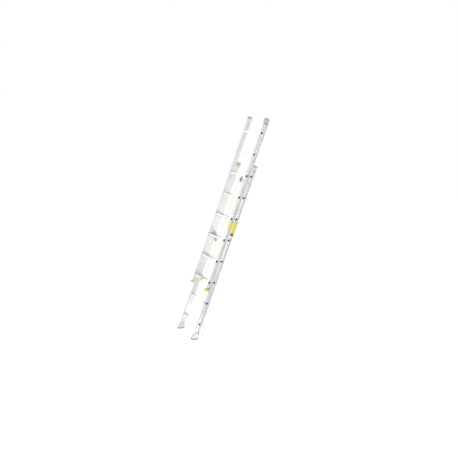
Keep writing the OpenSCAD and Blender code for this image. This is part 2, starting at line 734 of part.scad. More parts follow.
left_side() lock_bracket();  // lock_bracket_left
lock_bracket();  // lock_bracket_right
lock_rivets();
left_side() lock_pin();  // lock_pin_left
lock_pin();  // lock_pin_right
left_side() lock_spring();  // lock_spring_left
lock_spring();  // lock_spring_right
left_side() lock_hook();  // lock_hook_left
lock_hook();  // lock_hook_right
left_side() tongue_pin();  // tongue_pin_left
tongue_pin();  // tongue_pin_right
left_side() lock_tongue();  // lock_tongue_left
lock_tongue();  // lock_tongue_right
left_side() shoe();  // shoe_left
shoe();  // shoe_right
left_side() shoe_pad();  // shoe_pad_left
shoe_pad();  // shoe_pad_right
left_side() shoe_bolt();  // shoe_bolt_left
shoe_bolt();  // shoe_bolt_right
left_side() shoe_nut();  // shoe_nut_left
shoe_nut();  // shoe_nut_right
left_side() shoe_spacer();  // shoe_spacer_left
shoe_spacer();  // shoe_spacer_right
pulley_strap();
pulley_block();
pulley_sheave();
pulley_axle();
pulley_bolt();
rope_hoist();
rope_haul();
rope_knot();
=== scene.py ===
"""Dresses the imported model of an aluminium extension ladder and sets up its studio.

Lengths in the classes are millimetres in the ladder's own upright coordinates: x along the
rungs, y from the climber towards the wall, z up the rails from the lowest base rung.
Stance.place turns them into metres in the shared frame. Only the studio is laid out in metres.
"""

import logging
import math
from collections.abc import Iterable, Sequence
from dataclasses import dataclass, field
from enum import Enum

import bpy
from mathutils import Matrix, Vector


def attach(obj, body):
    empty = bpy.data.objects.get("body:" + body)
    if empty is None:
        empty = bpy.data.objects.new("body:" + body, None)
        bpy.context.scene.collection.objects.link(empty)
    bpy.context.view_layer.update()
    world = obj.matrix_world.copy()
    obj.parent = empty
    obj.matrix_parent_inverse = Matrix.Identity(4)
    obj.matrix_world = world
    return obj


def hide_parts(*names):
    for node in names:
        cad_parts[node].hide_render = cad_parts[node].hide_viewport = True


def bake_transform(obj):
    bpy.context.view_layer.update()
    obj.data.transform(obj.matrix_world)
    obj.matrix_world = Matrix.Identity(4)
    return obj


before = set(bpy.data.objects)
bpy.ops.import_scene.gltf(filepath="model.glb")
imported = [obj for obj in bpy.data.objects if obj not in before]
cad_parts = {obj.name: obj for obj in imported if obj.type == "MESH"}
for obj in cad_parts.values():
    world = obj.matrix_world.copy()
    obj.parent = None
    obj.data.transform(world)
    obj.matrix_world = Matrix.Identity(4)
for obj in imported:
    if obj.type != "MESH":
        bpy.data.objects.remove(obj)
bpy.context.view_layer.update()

log = logging.getLogger("ladder")

Point = tuple[float, float, float]
Size = tuple[float, float, float]
Socket = bpy.types.NodeSocket
Tree = bpy.types.NodeTree
Node = bpy.types.Node
Source = Node | Socket
Material = bpy.types.Material
Piece = bpy.types.Object

# Metres in a millimetre
MM = 0.001
# Corners closer than this are one corner, and edges that turn by more than this are broken
WELD_MM = 0.01
SHARP_DEGREES = 35
# How strongly each finer octave of a pattern counts beside the one before it
OCTAVE_SHARE = 0.55


class Side(Enum):
    """The two sides of the ladder, as the frame names them."""

    LEFT = "left"
    RIGHT = "right"

    def name_of(self, node: str) -> str:
        """The frame's name for this side's copy of a node."""
        return f"{node}_{self.value}"


class Section(Enum):
    """The two sections that slide on each other, as the frame names their bodies."""

    BASE = "base"
    FLY = "fly"


class Grain(Enum):
    """Direction in which a metal part was drawn through its die."""

    RAIL = "rail"
    RUNG = "rung"


# ---- where things are ----


@dataclass(frozen=True)
class Stance:
    """How the ladder leans, and the sizes that its parts share."""

    # Degrees by which the rails lean towards the wall, about the shoes' pivot bolts
    lean: float = 14.5
    pivot_height: float = 79.0
    pivot_on_rail: float = -128.0
    rung_pitch: float = 304.8
    # Distance between the planes of the two sections' rungs, and height of the fly's first rung
    plane_gap: float = 71.5
    fly_first: float = 594.0
    # A rung is round below and cut off flat at this height over its axis, its ribs included
    rung_r: float = 19.5
    tread_h: float = 12.8
    # Distance from the middle to the outer face of each section's webs
    base_web: float = 189.5
    fly_web: float = 184.5
    # Height of the sheave's axle, and radius of its groove to the rope's centre
    sheave_z: float = 2063.6
    sheave_r: float = 28.0

    def web(self, section: Section) -> float:
        """Distance from the middle to the outer face of a section's webs."""
        return self.base_web if section is Section.BASE else self.fly_web

    def plane(self, section: Section) -> float:
        """Distance towards the wall at which a section's rungs and rails have their middle."""
        return 0.0 if section is Section.BASE else -self.plane_gap

    def first(self, section: Section) -> float:
        """Height of a section's lowest rung."""
        return 0.0 if section is Section.BASE else self.fly_first

    def place(self, x: float, y: float, z: float) -> Vector:
        """Turns a point of the upright ladder into the frame.

        Args:
            x: Distance along the rungs, to the climber's right.
            y: Distance towards the wall, square to the rails.
            z: Distance up the rails.

        Returns:
            The same point in metres, in the leaning stance.
        """
        a = math.radians(self.lean)
        up = z - self.pivot_on_rail
        return Vector((
            x * MM,
            (y * math.cos(a) + up * math.sin(a)) * MM,
            (self.pivot_height + up * math.cos(a) - y * math.sin(a)) * MM,
        ))

    def beside_rung(self, angle: float, clearance: float) -> tuple[float, float]:
        """Finds a point at some distance from a rung's D-shaped outline.

        Args:
            angle: Direction from the rung's centre in degrees; 0 is towards the wall and 90 is up.
            clearance: Distance between the outline and the point.

        Returns:
            The point's y and z, counted from the rung's centre.
        """
        a = math.radians(angle)
        reach = self.rung_r + clearance
        if math.sin(a) > 0:
            reach = min(reach, (self.tread_h + clearance) / math.sin(a))
        return self.level(reach * math.cos(a), reach * math.sin(a))

    def level(self, y: float, z: float) -> tuple[float, float]:
        """Turns an offset from a rung, whose flat top is level, into one along the leaning rails.

        Args:
            y: Level distance towards the wall.
            z: Plumb distance upwards.

        Returns:
            The distances square to the rails and along them.
        """
        lean = math.radians(self.lean)
        return (
            y * math.cos(lean) - z * math.sin(lean),
            y * math.sin(lean) + z * math.cos(lean),
        )


STANCE = Stance()


# ---- finishes ----


def linear(hex_colour: str) -> tuple[float, float, float, float]:
    """Turns an sRGB colour into the linear values that a shader takes.

    Args:
        hex_colour: The colour, such as "#c8ccd0".

    Returns:
        Its linear red, green and blue, and an alpha of 1.
    """
    parts = [int(hex_colour[i : i + 2], 16) / 255 for i in (1, 3, 5)]
    red, green, blue = (
        c / 12.92 if c <= 0.04045 else ((c + 0.055) / 1.055) ** 2.4 for c in parts
    )
    return red, green, blue, 1.0


def outlet(source: Source) -> Socket:
    """A socket as it is, or a node's first output."""
    return source.outputs[0] if isinstance(source, Node) else source


def add(
    tree: Tree,
    kind: str,
    settings: dict[str | int, object] | None = None,
    links: dict[str | int, Source] | None = None,
) -> Node:
    """Adds one shader node with its settings and its incoming links.

    Args:
        tree: The node tree that gets the node.
        kind: Blender's name for the node type, without the "ShaderNode" before it.
        settings: Values for input sockets, by name or number, or for properties of the node.
        links: The output, or the node whose first output, feeds each input socket.

    Returns:
        The new node.
    """
    node = tree.nodes.new(f"ShaderNode{kind}")
    for key, value in (settings or {}).items():
        if isinstance(key, int) or key in node.inputs:
            node.inputs[key].default_value = value
        else:
            setattr(node, key, value)
    for key, source in (links or {}).items():
        tree.links.new(outlet(source), node.inputs[key])
    return node


@dataclass(frozen=True)
class Surface:
    """A material in the making: its node tree, and the shader that a finish feeds."""

    tree: Tree
    shader: Node

    def feed(self, entry: str, source: Source) -> None:
        """Links a source to one of the shader's inputs."""
        self.tree.links.new(outlet(source), self.shader.inputs[entry])

    def tint(self, factor: Source, dark: str, light: str) -> None:
        """Blends the base colour between two colours.

        Args:
            factor: What blends the colours, from 0 to 1.
            dark: The colour at 0.
            light: The colour at 1.
        """
        ramp = add(self.tree, "ValToRGB", links={"Fac": factor})
        ramp.color_ramp.elements[0].color = linear(dark)
        ramp.color_ramp.elements[1].color = linear(light)
        self.feed("Base Color", ramp)

    def dull(self, factor: Source, middle: float, spread: tuple[float, float]) -> None:
        """Varies the roughness.

        Args:
            factor: What varies it, from 0 where it is glossiest to 1 where it is dullest.
            middle: The plain roughness.
            spread: How far it goes below and above that.
        """
        limits = {"To Min": middle - spread[0], "To Max": middle + spread[1]}
        self.feed("Roughness", add(self.tree, "MapRange", limits, {"Value": factor}))

    def emboss(self, height: Source, depth_mm: float) -> None:
        """Raises the surface in relief.

        Args:
            height: Height of the relief, from 0 to 1.
            depth_mm: How far the surface is raised where the height is 1.
        """
        depth = {"Strength": 1.0, "Distance": depth_mm * MM}
        self.feed("Normal", add(self.tree, "Bump", depth, {"Height": height}))

    def mottle(self, size_mm: float | Size, detail: float = 2.0, turn: float = 0.0) -> Node:
        """Lays out uneven soft patches that have a real size.

        Args:
            size_mm: Size of a patch, or its sizes along x, y and z of the piece.
            detail: How many finer octaves are laid over the patches.
            turn: Angle about x, in degrees, by which the pattern is turned first.

        Returns:
            The node whose first output is the pattern, from 0 to 1.
        """
        sizes = size_mm if isinstance(size_mm, tuple) else (size_mm,) * 3
        place = add(self.tree, "TexCoord")
        turned = add(
            self.tree,
            "Mapping",
            {"Rotation": (math.radians(turn), 0.0, 0.0)},
            {"Vector": place.outputs["Object"]},
        )
        scaled = add(
            self.tree,
            "Mapping",
            {"Scale": tuple(1.0 / (size * MM) for size in sizes)},
            {"Vector": turned},
        )
        return add(
            self.tree,
            "TexNoise",
            {"Scale": 1.0, "Detail": detail, "Roughness": OCTAVE_SHARE},
            {"Vector": scaled},
        )


@dataclass(frozen=True)
class Finish:
    """A surface finish: a plain shader that subclasses give their pattern."""

    name: str
    colour: str
    roughness: float = 0.5
    # How far the roughness goes below and above its value where a pattern varies it
    spread: tuple[float, float] = (0.0, 0.0)
    metallic: float = 0.0
    ior: float = 1.5

    def material(self) -> Material:
        """Makes the finish's material once, and then shares it.

        Returns:
            The material.
        """
        known = bpy.data.materials.get(self.name)
        if known:
            return known
        material = bpy.data.materials.new(self.name)
        material.use_nodes = True
        tree = material.node_tree
        shader = tree.nodes["Principled BSDF"]
        shader.inputs["Base Color"].default_value = linear(self.colour)
        shader.inputs["Roughness"].default_value = self.roughness
        shader.inputs["Metallic"].default_value = self.metallic
        if not self.metallic:
            shader.inputs["IOR"].default_value = self.ior
        self.pattern(Surface(tree, shader))
        material.diffuse_color = linear(self.colour)
        return material

    def pattern(self, surface: Surface) -> None:
        """Adds what varies over the surface; a plain finish adds nothing.

        Args:
            surface: The material's surface.
        """


@dataclass(frozen=True)
class ExtrudedAluminium(Finish):
    """Mill-finished aluminium extrusion: fine die lines, and dull patches where it was handled."""

    colour: str = "#eceded"
    worn: str = "#dfe0e1"
    roughness: float = 0.34
    spread: tuple[float, float] = (0.05, 0.08)
    metallic: float = 1.0
    grain: Grain = Grain.RAIL
    # Real die lines are a tenth of this width; they are drawn coarser so that they show
    line_mm: float = 1.4
    line_run_mm: float = 420.0
    line_depth_mm: float = 0.008
    # Marks as large as the palms that made them
    palm_mm: Size = (60.0, 60.0, 90.0)

    def pattern(self, surface: Surface) -> None:
        """Adds the die lines along the draw direction and the handling marks.

        Args:
            surface: The material's surface.
        """
        line, run = self.line_mm, self.line_run_mm
        size = (line, line, run) if self.grain is Grain.RAIL else (run, line, line)
        lines = surface.mottle(size, detail=3.0, turn=STANCE.lean)
        patches = surface.mottle(self.palm_mm, detail=4.0)
        surface.tint(patches, self.worn, self.colour)
        surface.dull(lines, self.roughness, self.spread)
        surface.emboss(lines, self.line_depth_mm)


@dataclass(frozen=True)
class CastAluminium(Finish):
    """Sand-cast aluminium: a dull, slightly pebbled skin."""

    colour: str = "#dcddde"
    sooty: str = "#d2d3d3"
    clean: str = "#e8e9e9"
    roughness: float = 0.5
    metallic: float = 1.0
    # Moulding sand is finer than this; it is drawn coarser so that it shows
    grit_mm: float = 1.2
    grit_depth_mm: float = 0.15
    soot_mm: float = 18.0

    def pattern(self, surface: Surface) -> None:
        """Adds the grit that the sand left, and its soot.

        Args:
            surface: The material's surface.
        """
        grit = surface.mottle(self.grit_mm, detail=4.0)
        soot = surface.mottle(self.soot_mm, detail=3.0)
        surface.tint(soot, self.sooty, self.clean)
        surface.emboss(grit, self.grit_depth_mm)


@dataclass(frozen=True)
class ZincPlate(Finish):
    """Zinc-plated mild steel: a bright bluish film over faint rolling marks."""

    colour: str = "#dadde0"
    blue: str = "#d3d8de"
    straw: str = "#e4e2d9"
    roughness: float = 0.32
    spread: tuple[float, float] = (0.06, 0.16)
    metallic: float = 1.0
    film_mm: float = 9.0
    # Rolling marks are finer than this; they are drawn coarser so that they show
    mark_mm: Size = (0.5, 6.0, 6.0)
    mark_depth_mm: float = 0.03

    def pattern(self, surface: Surface) -> None:
        """Adds the uneven passivation film and the rolling marks.

        Args:
            surface: The material's surface.
        """
        film = surface.mottle(self.film_mm, detail=3.0)
        surface.tint(film, self.blue, self.straw)
        marks = surface.mottle(self.mark_mm, detail=3.0)
        surface.dull(marks, self.roughness, self.spread)
        surface.emboss(marks, self.mark_depth_mm)


@dataclass(frozen=True)
class MouldedPolythene(Finish):
    """Injection-moulded polythene: waxy and matt, with a spark-eroded mould texture."""

    roughness: float = 0.46
    ior: float = 1.51
    scuff: str = "#ecedde"
    scuff_mm: Size = (14.0, 14.0, 18.0)
    # Values of the scuffs' pattern between which the plastic turns from clean to scuffed
    scuffed: tuple[float, float] = (0.3, 0.8)
    crown: str = "#b3b790"
    # Shares of the piece's height at which the crown starts, and over which it fades in
    crown_from: float = 0.7
    crown_fade: float = 0.16
    # The mould's texture is finer than this; it is drawn coarser so that it shows
    texture_mm: float = 0.7
    texture_depth_mm: float = 0.04
    # Share of the light that goes into the plastic, and how deep each colour goes in metres
    glow: float = 0.08
    glow_depth: Size = (0.004, 0.004, 0.002)

    def pattern(self, surface: Surface) -> None:
        """Adds the mould's texture, pale scuffs, and a crown that is darker towards the top.

        Args:
            surface: The material's surface.
        """
        tree = surface.tree
        skin = surface.mottle(self.texture_mm)
        scuffs = surface.mottle(self.scuff_mm, detail=3.0)
        body = add(tree, "ValToRGB", links={"Fac": scuffs})
        for stop, position, colour in zip(
            body.color_ramp.elements, self.scuffed, (self.colour, self.scuff)
        ):
            stop.position, stop.color = position, linear(colour)
        place = add(tree, "TexCoord")
        split = add(tree, "SeparateXYZ", links={"Vector": place.outputs["Generated"]})
        top = add(
            tree,
            "MapRange",
            {"From Min": self.crown_from, "From Max": self.crown_from + self.crown_fade},
            {"Value": split.outputs["Z"]},
        )
        crowned = add(tree, "Mix", {"data_type": "RGBA", 7: linear(self.crown)}, {0: top, 6: body})
        surface.feed("Base Color", crowned.outputs[2])
        surface.emboss(skin, self.texture_depth_mm)
        surface.shader.inputs["Subsurface Weight"].default_value = self.glow
        surface.shader.inputs["Subsurface Radius"].default_value = self.glow_depth


@dataclass(frozen=True)
class GlassFilledNylon(Finish):
    """Black glass-filled nylon: satin, with a faint swirl where the fibres flowed."""

    colour: str = "#17181a"
    dark: str = "#101112"
    light: str = "#25272a"
    roughness: float = 0.42
    spread: tuple[float, float] = (0.08, 0.14)
    ior: float = 1.53
    flow_mm: Size = (4.0, 9.0, 9.0)
    # The mould's texture is finer than this; it is drawn coarser so that it shows
    texture_mm: float = 0.6
    texture_depth_mm: float = 0.05

    def pattern(self, surface: Surface) -> None:
        """Adds the flow marks and a fine mould texture.

        Args:
            surface: The material's surface.
        """
        flow = surface.mottle(self.flow_mm, detail=4.0)
        surface.tint(flow, self.dark, self.light)
        surface.dull(flow, self.roughness, self.spread)
        skin = surface.mottle(self.texture_mm)
        surface.emboss(skin, self.texture_depth_mm)


@dataclass(frozen=True)
class MouldedRubber(Finish):
    """Moulded tread rubber: very dull, and dusty where it is worn."""

    colour: str = "#262626"
    roughness: float = 0.85
    ior: float = 1.52
    dust: str = "#444340"
    dust_mm: float = 12.0
    pebble_mm: float = 0.9
    pebble_depth_mm: float = 0.12

    def pattern(self, surface: Surface) -> None:
        """Adds dust in soft patches and a pebbled skin.

        Args:
            surface: The material's surface.
        """
        dust = surface.mottle(self.dust_mm, detail=5.0)
        surface.tint(dust, self.colour, self.dust)
        pebbles = surface.mottle(self.pebble_mm, detail=3.0)
        surface.emboss(pebbles, self.pebble_depth_mm)


@dataclass(frozen=True)
class BraidedPolypropylene(Finish):
    """Braided polypropylene: pale yellow strands with a soft sheen, and painted shade in the gaps
    between them.
    """

    colour: str = "#f6f0a4"
    roughness: float = 0.48
    ior: float = 1.49
    # Painted shade: the darker colour of the gaps stands in for the shade that the strands cast on
    # each other
    gap: str = "#dccf78"
    # Height of the strands' wave, from -1 to 1, at which the gaps' painted shade has faded out
    fade_height: float = 0.6
    # Fibres side by side in a strand; real ones are far finer and wouldn't show
    fibres: float = 26.0
    fibre_depth_mm: float = 0.25

    def pattern(self, surface: Surface) -> None:
        """Paints shade into the gaps between the strands, which the rope's UV map lays out.

        Args:
            surface: The material's surface.
        """
        tree = surface.tree
        place = add(tree, "UVMap", {"uv_map": "braid"})
        split = add(tree, "SeparateXYZ", links={"Vector": place})
        crests = []
        for operation in ("ADD", "SUBTRACT"):
            phase = add(
                tree,
                "Math",
                {"operation": operation},
                {0: split.outputs["X"], 1: split.outputs["Y"]},
            )
            angle = add(tree, "Math", {"operation": "MULTIPLY", 1: 2 * math.pi}, {0: phase})
            crests.append(add(tree, "Math", {"operation": "COSINE"}, {0: angle}))
        top = add(tree, "Math", {"operation": "MAXIMUM"}, {0: crests[0], 1: crests[1]})
        height = add(
            tree,
            "MapRange",
            {"From Min": -self.fade_height, "From Max": self.fade_height},
            {"Value": top},
        )
        # Painted shade in the gaps between the strands
        surface.tint(height, self.gap, self.colour)
        fibres = add(tree, "TexNoise", {"Scale": self.fibres, "Detail": 3.0}, {"Vector": place})
        surface.emboss(fibres, self.fibre_depth_mm)


@dataclass(frozen=True)
class PrintedVinyl(Finish):
    """Printed vinyl film under a clear satin laminate, in plain bands of colour and no words."""

    roughness: float = 0.4
    ior: float = 1.52
    # Height of each band's lower edge as a share of the panel, and its colour
    bands: tuple[tuple[float, str], ...] = ()
    # Width of the painted shade along the front edge, where the rail's front flange shades the film,
    # as a share of the panel, and its colour
    line: float = 0.0
    front_shade_colour: str = "#ffffff"
    # The most that the sun has bleached the print, and the colour that it turns to
    fade: float = 0.06
    bleached: str = "#fffff4"
    fade_mm: Size = (30.0, 30.0, 70.0)
    ripple_mm: float = 9.0
    ripple_depth_mm: float = 0.05

    def pattern(self, surface: Surface) -> None:
        """Prints the bands, paints shade along the front edge, then adds uneven fading and the
        ripple of the laminate.

        Args:
            surface: The material's surface.
        """
        tree = surface.tree
        place = add(tree, "UVMap", {"uv_map": "print"})
        split = add(tree, "SeparateXYZ", links={"Vector": place})
        ramp = add(tree, "ValToRGB", links={"Fac": split.outputs["Y"]})
        ramp.color_ramp.interpolation = "CONSTANT"
        stops = ramp.color_ramp.elements
        stops.remove(stops[1])
        stops[0].position, stops[0].color = 0.0, linear(self.colour)
        for position, colour in self.bands:
            stops.new(position).color = linear(colour)
        # Painted shade along the front edge, where the rail's front flange shades the film
        edge = add(tree, "Math", {"operation": "LESS_THAN", 1: self.line}, {0: split.outputs["X"]})
        front_shaded = add(
            tree, "Mix", {"data_type": "RGBA", 7: linear(self.front_shade_colour)}, {0: edge, 6: ramp}
        )
        sun = surface.mottle(self.fade_mm, detail=3.0)
        share = add(tree, "MapRange", {"To Min": 0.0, "To Max": self.fade}, {"Value": sun})
        faded = add(
            tree,
            "Mix",
            {"data_type": "RGBA", 7: linear(self.bleached)},
            {0: share, 6: front_shaded.outputs[2]},
        )
        surface.feed("Base Color", faded.outputs[2])
        ripple = surface.mottle(self.ripple_mm)
        surface.emboss(ripple, self.ripple_depth_mm)


@dataclass(frozen=True)
class PaintedBoreShade(Finish):
    """Painted shade for the inside of a drawn tube: black, as little light gets in."""

    colour: str = "#151515"
    # The painted shade's darkest and lightest streaks
    thick: str = "#0c0c0c"
    thin: str = "#242423"
    roughness: float = 0.75
    streak_mm: Size = (120.0, 3.0, 3.0)

    def pattern(self, surface: Surface) -> None:
        """Adds darker and lighter streaks along the tube to the painted shade.

        Args:
            surface: The material's surface.
        """
        streaks = surface.mottle(self.streak_mm, detail=3.0)
        surface.tint(streaks, self.thick, self.thin)


# The rungs' aluminium is painted lighter than the rails', a painted highlight for the light that the
# rungs catch; it is also a little glossier
MILL_RAIL = ExtrudedAluminium("mill_aluminium_rail")
MILL_RUNG = ExtrudedAluminium(
    "mill_aluminium_rung", "#f4f4f5", grain=Grain.RUNG, roughness=0.32, worn="#e8e9ea"
)
SAND_CAST = CastAluminium("sand_cast_aluminium")
ZINC = ZincPlate("zinc_plated_steel")
# Each cap and guide has its own colour, from yellow through lime to grey olive. The two guides are
# one yellow polythene: the left one's paler, greyer copy is painted shade, as the left guide stands
# in shade
CAP_OLIVE = MouldedPolythene("olive_polythene", "#dadcc2", crown="#a9ad8a", crown_from=0.56)
CAP_GREY_OLIVE = MouldedPolythene(
    "grey_olive_polythene", "#c0c1ab", scuff="#d2d2c2", crown="#b2b49a", crown_from=0.6
)
CAP_LIME = MouldedPolythene("lime_polythene", "#d3d798", crown="#bcc083", crown_from=0.35)
GUIDE_YELLOW = MouldedPolythene("yellow_polythene", "#e2cf55", scuff="#e8d96c", crown="#dcc750")
GUIDE_PAINTED_SHADE = MouldedPolythene("yellow_polythene_painted_shade", "#d6d6a0", scuff="#e4e4c0", crown="#c9c7a0")
# The sheave is satin; the axle's black coat looks glossier, and the tongues are dead matt
BLACK_NYLON = GlassFilledNylon("black_nylon")
BLACK_COAT = GlassFilledNylon("black_coat", "#1b1c1d", roughness=0.38)
BLACK_MATTE = GlassFilledNylon(
    "matte_nylon", "#0b0b0c", roughness=0.62, ior=1.42, dark="#060607", light="#131314"
)
TREAD_RUBBER = MouldedRubber("tread_rubber")
ROPE_BRAID = BraidedPolypropylene("braided_polypropylene")
# Painted shade for the insides of the rung tubes
BORE_SHADE = PaintedBoreShade("painted_bore_shade")
# Each panel has a dark or deeper foot; the yellow one is banded, and the lemon one has painted shade
# along its front edge, where the fly's front flange shades it
YELLOW_FILM = PrintedVinyl(
    "yellow_vinyl",
    "#221e00",
    bands=((0.13, "#f0e83a"), (0.3, "#fff36c"), (0.54, "#f4f030"), (0.92, "#dcd94c")),
)
LEMON_FILM = PrintedVinyl(
    "lemon_vinyl",
    "#efe67c",
    bands=((0.1, "#fff488"), (0.9, "#e0d97c")),
    line=0.16,
    front_shade_colour="#bdb548",
)
GREY_FILM = PrintedVinyl("grey_vinyl", "#4a4a48", bands=((0.07, "#f6f6f4"),))


# ---- mesh helpers ----


def mesh_piece(
    name: str,
    verts: Iterable[Vector],
    faces: Iterable[Sequence[int]],
    finish: Finish,
    smooth: bool = True,
) -> Piece:
    """Makes a mesh object from points in the frame.

    Args:
        name: Name of the new piece.
        verts: Its corners, in metres.
        faces: Corner numbers of each face.
        finish: The finish of the whole piece.
        smooth: Whether its faces are shaded smooth.

    Returns:
        The new piece, linked into the scene.
    """
    mesh = bpy.data.meshes.new(name)
    mesh.from_pydata([tuple(v) for v in verts], [], [tuple(f) for f in faces])
    mesh.materials.append(finish.material())
    for polygon in mesh.polygons:
        polygon.use_smooth = smooth
    mesh.update()
    piece = bpy.data.objects.new(name, mesh)
    bpy.context.scene.collection.objects.link(piece)
    log.info("%s: %s, %d faces", name, finish.name, len(mesh.polygons))
    return piece


def dress(node: str, finish: Finish, edge_mm: float = 0.0) -> None:
    """Gives one of the frame's nodes its finish.

    Args:
        node: Name of the node.
        finish: Its finish.
        edge_mm: Width to which its sharp edges are broken, or 0 to leave them.
    """
    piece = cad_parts[node]
    for slot in piece.material_slots:
        slot.material = finish.material()
    if edge_mm:
        weld = piece.modifiers.new("weld", "WELD")
        weld.merge_threshold = WELD_MM * MM
        bevel = piece.modifiers.new("broken_edges", "BEVEL")
        bevel.width = edge_mm * MM
        bevel.segments = 2
        bevel.limit_method = "ANGLE"
        bevel.angle_limit = math.radians(SHARP_DEGREES)
        bevel.harden_normals = False
    log.info("%s: %s", node, finish.name)


def spline(points: Sequence[Vector], step: float) -> list[Vector]:
    """Draws one smooth curve through points, however uneven, and marks it off in equal steps.

    Args:
        points: The points, in order.
        step: Distance between two marks.

    Returns:
        Points on the curve, about one step apart, from its first end to its last.
    """
    ends = [2 * points[0] - points[1], *points, 2 * points[-1] - points[-2]]
    fine: list[Vector] = []
    for a, b, c, d in zip(ends, ends[1:], ends[2:], ends[3:]):
        # Square roots of the distances keep the curve free of loops between a short and a long gap
        before, here, after = (math.sqrt((q - p).length) for p, q in ((a, b), (b, c), (c, d)))
        leave = here * ((b - a) / before - (c - a) / (before + here)) + (c - b)
        arrive = here * ((d - c) / after - (d - b) / (here + after)) + (c - b)
        # Four fine points to a step, by which the curve is then measured
        pieces = max(2, math.ceil(4 * (c - b).length / step))
        for i in range(pieces):
            t = i / pieces
            fine.append(
                b * (2 * t**3 - 3 * t**2 + 1)
                + leave * (t**3 - 2 * t**2 + t)
                + c * (3 * t**2 - 2 * t**3)
                + arrive * (t**3 - t**2)
            )
    fine.append(points[-1].copy())
    total = sum((q - p).length for p, q in zip(fine, fine[1:]))
    count = max(2, round(total / step))
    marks = [fine[0].copy()]
    travelled, i = 0.0, 0
    for k in range(1, count):
        target = total * k / count
        while travelled + (fine[i + 1] - fine[i]).length < target:
            travelled += (fine[i + 1] - fine[i]).length
            i += 1
        span = fine[i + 1] - fine[i]
        marks.append(fine[i] + span * ((target - travelled) / span.length))
    marks.append(fine[-1].copy())
    return marks


def run_length(path: Sequence[Vector]) -> float:
    """Adds up the distances along a path."""
    return sum((q - p).length for p, q in zip(path, path[1:]))


# ---- sub-assemblies ----


@dataclass
class Sections:
    """The rails and rungs of both sections."""

    rungs: int = 8
    # Faces this near to a rung's axis line its bore; the bore's steps lie a little further out
    bore_r: float = 15.8
    step_r: float = 17.0
    # The steps lie deeper than this behind the web's outer face
    rim: float = 3.0
    # Faces whose middle is further along the rung than this belong to its round ends
    round_from: float = 176.0
    # The grooves of the tread lie higher than this over the axis
    grooves_from: float = 10.4
    # How nearly a step's face is square to the rung, and a bore's face is turned to the axis
    square_on: float = 0.9
    turned_in: float = 0.3

    def build(self) -> None:
        """Dresses every rail and rung."""
        for section in Section:
            for side in Side:
                dress(side.name_of(f"{section.value}_rail"), MILL_RAIL)
            y, web = STANCE.plane(section), STANCE.web(section)
            for number in range(self.rungs):
                node = f"{section.value}_rung_{number + 1}"
                dress(node, MILL_RUNG)
                z = STANCE.first(section) + number * STANCE.rung_pitch
                # The insides of each rung's tube get painted shade
                self.paint_bore_shade(node, y, z, web - self.rim)

    def paint_bore_shade(self, node: str, y: float, z: float, depth: float) -> None:
        """Paints black shade on the faces inside a rung's tube: its inner wall, its steps and its
        deep end faces.

        Args:
            node: Name of the rung.
            y: The rung axis's distance towards the wall.
            z: The rung axis's height up the rails.
            depth: Distance from the middle within which the bore's steps get the painted shade too.
        """
        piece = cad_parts[node]
        piece.data.materials.append(BORE_SHADE.material())
        slot = len(piece.data.materials) - 1
        axis = STANCE.place(0, y, z)
        turn = piece.matrix_world.to_3x3()
        for polygon in piece.data.polygons:
            away = piece.matrix_world @ polygon.center - axis
            grooved = abs(away.x) < self.round_from * MM and away.z > self.grooves_from * MM
            step = abs(away.x) < depth * MM and abs(polygon.normal.x) > self.square_on
            away.x = 0.0
            step = step and away.length < self.step_r * MM
            inward = (turn @ polygon.normal).dot(away) < -self.turned_in * away.length
            deep = self.reach(piece, polygon, axis) < self.bore_r * MM
            if not grooved and (inward or step or deep):
                polygon.material_index = slot

    def reach(self, piece: Piece, polygon: bpy.types.MeshPolygon, axis: Vector) -> float:
        """Measures how far a face reaches from a rung's axis.

        Args:
            piece: The rung.
            polygon: The face.
            axis: A point on the rung's axis, in the frame.

        Returns:
            The distance from the axis to the face's furthest corner, in metres.
        """
        corners = (piece.matrix_world @ piece.data.vertices[i].co - axis for i in polygon.vertices)
        return max(math.hypot(corner.y, corner.z) for corner in corners)


@dataclass
class RailEnds:
    """Caps on the upper ends, guides on the fly section's lower ends, and their rivets."""

    edge: float = 1.0

    def build(self) -> None:
        """Dresses the caps, guides and rivets."""
        for side in Side:
            left = side is Side.LEFT
            dress(side.name_of("base_cap"), CAP_LIME if left else CAP_OLIVE, self.edge)
            dress(side.name_of("fly_cap"), CAP_OLIVE if left else CAP_GREY_OLIVE, self.edge)
            # The left guide's paler, greyer copy of the yellow polythene is painted shade
            dress(side.name_of("fly_guide"), GUIDE_PAINTED_SHADE if left else GUIDE_YELLOW, self.edge)
        dress("base_cap_rivets", ZINC)
        dress("fly_end_rivets", ZINC)


@dataclass
class RungLocks:
    """The pair of rung locks: bracket, hook, tongue, pins and spring."""

    edge: float = 0.6
    plate_edge: float = 0.4

    def build(self) -> None:
        """Dresses both locks."""
        for side in Side:
            dress(side.name_of("lock_bracket"), ZINC, self.plate_edge)
            dress(side.name_of("lock_hook"), SAND_CAST, self.edge)
            dress(side.name_of("lock_tongue"), BLACK_MATTE, self.edge)
            for small in ("lock_pin", "lock_spring", "tongue_pin"):
                dress(side.name_of(small), ZINC)
        dress("lock_rivets", ZINC)


@dataclass
class Shoes:
    """The pair of swivel shoes with their pads and pivot bolts."""

    edge: float = 0.5

    def build(self) -> None:
        """Dresses both shoes."""
        for side in Side:
            dress(side.name_of("shoe"), ZINC, self.edge)
            dress(side.name_of("shoe_pad"), TREAD_RUBBER, self.edge)
            for small in ("shoe_bolt", "shoe_nut", "shoe_spacer"):
                dress(side.name_of(small), ZINC)


@dataclass
class HoistPulley:
    """The rope pulley under the top base rung."""

    edge: float = 0.4

    def build(self) -> None:
        """Dresses the pulley."""
        dress("pulley_sheave", BLACK_NYLON)
        dress("pulley_axle", BLACK_COAT)
        for plated in ("pulley_block", "pulley_strap", "pulley_bolt"):
            dress(plated, ZINC, self.edge)


